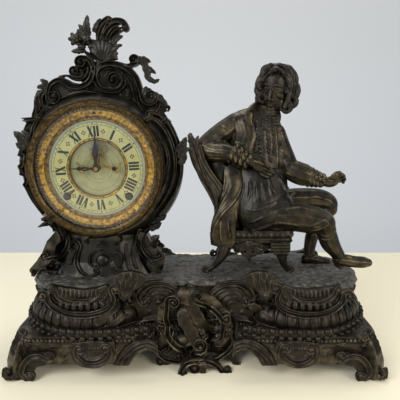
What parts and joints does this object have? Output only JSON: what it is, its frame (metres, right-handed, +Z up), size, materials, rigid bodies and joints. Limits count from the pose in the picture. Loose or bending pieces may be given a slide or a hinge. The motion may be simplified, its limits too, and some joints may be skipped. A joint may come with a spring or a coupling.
{
  "type": "figural mantel clock",
  "caption": "Figural mantel clock: drum case with open-escapement dial and a seated period figure on a scrolled two-lobed base.",
  "frame": {"origin": "centre of the box's bottom face, on the surface that the feet stand on", "axes": "+X to the viewer's right along the width, +Y from front to back, +Z up"},
  "size_m": [0.5094, 0.2078, 0.478],
  "materials": {
    "base_patina": "dark brown-black bronze finish, brighter on worn edges",
    "case_patina": "near-black bronze finish, faint warm rub on edges",
    "figure_bronze": "brown bronze finish with golden highlights",
    "ground_rock": "grey-brown rough cast ground",
    "door_brass": "aged sheet brass",
    "bezel_gilt": "worn dark gilt",
    "glass": "clear bevelled glass",
    "steel": "plain steel",
    "pan_zinc": "dull sheet",
    "dial_cream": "pale cream enamel with black numerals",
    "surround_gilt": "gilt egg and dart",
    "rim_gilt": "gilt",
    "disc_cream": "pale enamel",
    "movement_brass": "brushed brass",
    "movement_steel": "bright steel",
    "spring_steel": "blue-grey spring steel",
    "gong_steel": "blued wire",
    "gong_iron": "cast block",
    "wheel_brass": "polished brass",
    "bridge_brass": "polished brass",
    "blued_steel": "dark blued steel",
    "pallet_steel": "polished steel",
    "pendulum_brass": "brass faced",
    "hand_steel": "blackened steel",
    "collet_brass": "brass",
    "hammer_iron": "dark iron",
    "arbor_steel": "dark steel"
  },
  "bodies": {
    "case": {"base_shell": "base_patina", "corner_feet": "base_patina", "crescent_bands": "base_patina", "fan_arches": "base_patina", "shield_leaves": "base_patina", "base_cartouche": "base_patina", "ground_plate": "ground_rock", "neck_pedestal": "case_patina", "drum_case": "case_patina", "crest_scrolls": "case_patina", "plume_finial": "case_patina", "ear_scrolls": "case_patina", "hinge_pins": "steel", "dial_pan": "pan_zinc", "chapter_ring": "dial_cream", "dial_surround": "surround_gilt", "centre_rim": "rim_gilt", "centre_disc": "disc_cream", "front_plate": "movement_brass", "back_plate": "movement_brass", "plate_pillars": "movement_steel", "pillar_nuts": "movement_steel", "movement_straps": "movement_steel", "time_mainspring": "spring_steel", "strike_mainspring": "spring_steel", "gong_coil": "gong_steel", "gong_block": "gong_iron", "escapement_bridge": "bridge_brass", "bridge_screws": "blued_steel", "chair_frame": "figure_bronze", "chair_seat": "figure_bronze", "chair_back": "figure_bronze", "figure_torso": "figure_bronze", "figure_head": "figure_bronze", "left_arm": "figure_bronze", "right_arm": "figure_bronze", "near_leg": "figure_bronze", "far_leg": "figure_bronze", "coat_tail": "figure_bronze", "fixing_bolts": "steel"},
    "bezel": {"bezel_ring": "bezel_gilt", "bezel_glass": "glass"},
    "back_door": {"back_door_panel": "door_brass"},
    "minute_arbor": {"minute_arbor": "wheel_brass", "minute_hand": "hand_steel", "hand_collet": "collet_brass"},
    "hour_pipe": {"hour_pipe": "wheel_brass", "hour_hand": "hand_steel"},
    "minute_wheel": {"minute_wheel": "wheel_brass"},
    "time_great_wheel": {"time_great_wheel": "wheel_brass"},
    "time_second_wheel": {"time_second_wheel": "wheel_brass"},
    "third_wheel": {"third_wheel": "wheel_brass"},
    "escape_wheel": {"escape_wheel": "wheel_brass"},
    "pallets": {"pallets": "pallet_steel"},
    "pendulum": {"pendulum": "pendulum_brass"},
    "strike_great_wheel": {"strike_great_wheel": "wheel_brass"},
    "strike_second_wheel": {"strike_second_wheel": "wheel_brass"},
    "strike_fly": {"strike_fly": "wheel_brass"},
    "hammer": {"hammer": "hammer_iron"},
    "regulator_arbor": {"regulator_arbor": "arbor_steel"}
  },
  "joints": [
    {"name": "bezel_hinge", "type": "hinge", "parent": "case", "child": "bezel", "pos_m": [-0.2298, -0.037, 0.276], "axis": [0, 0, -1], "range_deg": [0, 105]},
    {"name": "back_door_hinge", "type": "hinge", "parent": "case", "child": "back_door", "pos_m": [-0.2192, 0.063, 0.276], "axis": [0, 0, 1], "range_deg": [0, 105]},
    {"name": "minute_spin", "type": "hinge", "parent": "case", "child": "minute_arbor", "pos_m": [-0.135, 0, 0.276], "axis": [0, 1, 0], "continuous": true},
    {"name": "hour_spin", "type": "hinge", "parent": "case", "child": "hour_pipe", "pos_m": [-0.135, 0, 0.276], "axis": [0, 1, 0], "continuous": true},
    {"name": "minute_wheel_spin", "type": "hinge", "parent": "case", "child": "minute_wheel", "pos_m": [-0.135, 0, 0.2616], "axis": [0, 1, 0], "continuous": true},
    {"name": "time_second_spin", "type": "hinge", "parent": "case", "child": "time_second_wheel", "pos_m": [-0.11158, 0, 0.26381], "axis": [0, 1, 0], "continuous": true},
    {"name": "time_great_spin", "type": "hinge", "parent": "case", "child": "time_great_wheel", "pos_m": [-0.092, 0, 0.238], "axis": [0, 1, 0], "continuous": true},
    {"name": "third_spin", "type": "hinge", "parent": "case", "child": "third_wheel", "pos_m": [-0.12429, 0, 0.28629], "axis": [0, 1, 0], "continuous": true},
    {"name": "escape_spin", "type": "hinge", "parent": "case", "child": "escape_wheel", "pos_m": [-0.135, 0, 0.294], "axis": [0, 1, 0], "continuous": true},
    {"name": "pendulum_swing", "type": "hinge", "parent": "case", "child": "pendulum", "pos_m": [-0.135, 0, 0.309], "axis": [0, 1, 0], "range_deg": [-3, 3]},
    {"name": "pallet_rock", "type": "hinge", "parent": "case", "child": "pallets", "pos_m": [-0.135, 0, 0.309], "axis": [0, 1, 0], "range_deg": [-3, 3]},
    {"name": "strike_great_spin", "type": "hinge", "parent": "case", "child": "strike_great_wheel", "pos_m": [-0.178, 0, 0.238], "axis": [0, 1, 0], "continuous": true},
    {"name": "strike_second_spin", "type": "hinge", "parent": "case", "child": "strike_second_wheel", "pos_m": [-0.185, 0, 0.26964], "axis": [0, 1, 0], "continuous": true},
    {"name": "strike_fly_spin", "type": "hinge", "parent": "case", "child": "strike_fly", "pos_m": [-0.178, 0, 0.29384], "axis": [0, 1, 0], "continuous": true},
    {"name": "hammer_lift", "type": "hinge", "parent": "case", "child": "hammer", "pos_m": [-0.187, 0, 0.306], "axis": [0, 1, 0], "range_deg": [-4, 20], "stiffness_Nm_per_rad": 0.02},
    {"name": "regulator_turn", "type": "hinge", "parent": "case", "child": "regulator_arbor", "pos_m": [-0.135, 0, 0.351], "axis": [0, 1, 0], "range_deg": [-180, 180]}
  ],
  "couplings": [
    {"joint": "minute_spin", "follows": "escape_spin", "ratio": 0.01},
    {"joint": "hour_spin", "follows": "escape_spin", "ratio": 0.00083333},
    {"joint": "minute_wheel_spin", "follows": "escape_spin", "ratio": -0.0033333},
    {"joint": "time_second_spin", "follows": "escape_spin", "ratio": -0.0022222},
    {"joint": "time_great_spin", "follows": "escape_spin", "ratio": 0.00044444},
    {"joint": "third_spin", "follows": "escape_spin", "ratio": -0.1},
    {"joint": "pallet_rock", "follows": "pendulum_swing", "ratio": 1},
    {"joint": "strike_second_spin", "follows": "strike_fly_spin", "ratio": -0.16667},
    {"joint": "strike_great_spin", "follows": "strike_fly_spin", "ratio": 0.033333}
  ]
}
